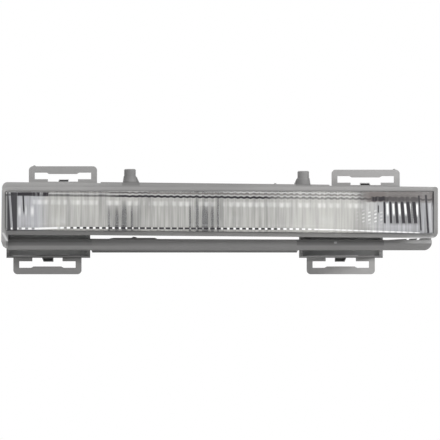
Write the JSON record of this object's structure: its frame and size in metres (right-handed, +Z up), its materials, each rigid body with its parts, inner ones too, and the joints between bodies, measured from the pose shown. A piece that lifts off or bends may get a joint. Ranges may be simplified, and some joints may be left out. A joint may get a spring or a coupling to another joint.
{
  "type": "daytime running light",
  "caption": "Long slim car lamp: grey housing with a clear fluted lens over bright cells, flat snap loops above and below, round locating pegs on top.",
  "frame": {"origin": "axis of the left locating peg, where its clear round shank meets the flared foot", "axes": "+Z up along the locating pegs, +X along the length to the lamp's swept right end as seen from the front, lens facing -Y"},
  "size_m": [0.29, 0.0956, 0.0723],
  "materials": {
    "housing": "light grey moulded plastic with a fine grain",
    "outer_lens": "clear hard-coated polycarbonate",
    "lens_bead": "cured sealant",
    "reflector": "vacuum metallised",
    "led_board": "metal-core board with white solder resist",
    "led": "clear dome over yellow phosphor",
    "thermal_pad": "soft gap pad",
    "heat_sink": "as die-cast",
    "heat_sink_gasket": "foam gasket",
    "optics_screws": "zinc plated",
    "board_screws": "zinc plated",
    "driver_board": "green solder resist",
    "driver_chip": "moulded package",
    "choke": "ferrite body",
    "capacitor": "metal can",
    "diode": "moulded package",
    "link_wires": "tinned copper wire",
    "rear_cover": "black moulded plastic",
    "rear_cover_seal": "moulded seal",
    "rear_cover_screws": "zinc plated",
    "connector_terminals": "stamped blades",
    "vent_cap": "moulded cap",
    "vent_membrane": "breathable membrane"
  },
  "bodies": {
    "root": {"housing": "housing", "outer_lens": "outer_lens", "lens_bead": "lens_bead", "reflector": "reflector", "led_board": "led_board", "led_1": "led", "led_2": "led", "led_3": "led", "led_4": "led", "led_5": "led", "thermal_pad": "thermal_pad", "heat_sink": "heat_sink", "heat_sink_gasket": "heat_sink_gasket", "optics_screws": "optics_screws", "board_screws": "board_screws", "driver_board": "driver_board", "driver_chip": "driver_chip", "choke": "choke", "capacitor": "capacitor", "diode": "diode", "link_wires": "link_wires", "rear_cover": "rear_cover", "rear_cover_seal": "rear_cover_seal", "rear_cover_screws": "rear_cover_screws", "connector_terminals": "connector_terminals", "vent_cap": "vent_cap", "vent_membrane": "vent_membrane"}
  },
  "joints": []
}
